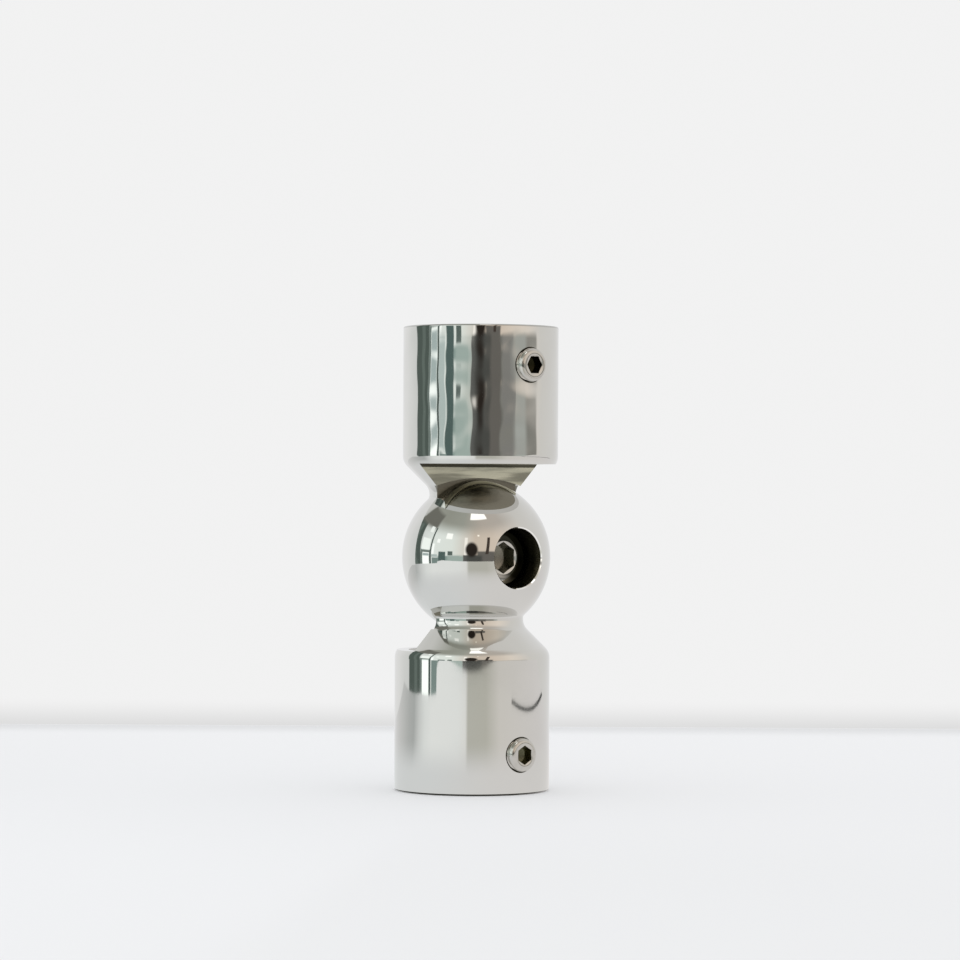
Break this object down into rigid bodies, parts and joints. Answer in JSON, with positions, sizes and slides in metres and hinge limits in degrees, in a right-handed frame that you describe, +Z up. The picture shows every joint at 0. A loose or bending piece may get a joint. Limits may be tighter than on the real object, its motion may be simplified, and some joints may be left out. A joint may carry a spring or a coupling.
{
  "type": "swivel ball tube connector",
  "caption": "Polished steel connector for joining round tubes at a set angle: tube sockets on half balls that swivel about a cap screw, with set screws that clamp the tubes.",
  "frame": {"origin": "centre of the lower tube socket's mouth, on the rim that the part stands on", "axes": "+Z up the connector along the lower socket's axis; the pivot bolt and both set screws face -Y"},
  "size_m": [0.0282, 0.0315, 0.0842],
  "materials": {
    "polished_steel": "polished",
    "screw_steel": "satin"
  },
  "bodies": {
    "lower": {"lower_half": "polished_steel"},
    "upper": {"upper_half": "polished_steel"},
    "bolt": {"pivot_bolt": "screw_steel"},
    "lower_screw": {"lower_set_screw": "screw_steel"},
    "upper_screw": {"upper_set_screw": "screw_steel"}
  },
  "joints": [
    {"name": "knuckle_pivot", "type": "hinge", "parent": "lower", "child": "upper", "pos_m": [0, -0.00105, 0.04241], "axis": [0, -1, 0], "range_deg": [-100, 100]},
    {"name": "bolt_travel", "type": "slide", "parent": "upper", "child": "bolt", "axis": [0, -1, 0], "range_m": [0, 0.001]},
    {"name": "lower_screw_travel", "type": "slide", "parent": "lower", "child": "lower_screw", "axis": [0, -1, 0], "range_m": [-0.0002, 0.0019]},
    {"name": "upper_screw_travel", "type": "slide", "parent": "upper", "child": "upper_screw", "axis": [0, -1, 0], "range_m": [-0.0003, 0.0018]}
  ]
}
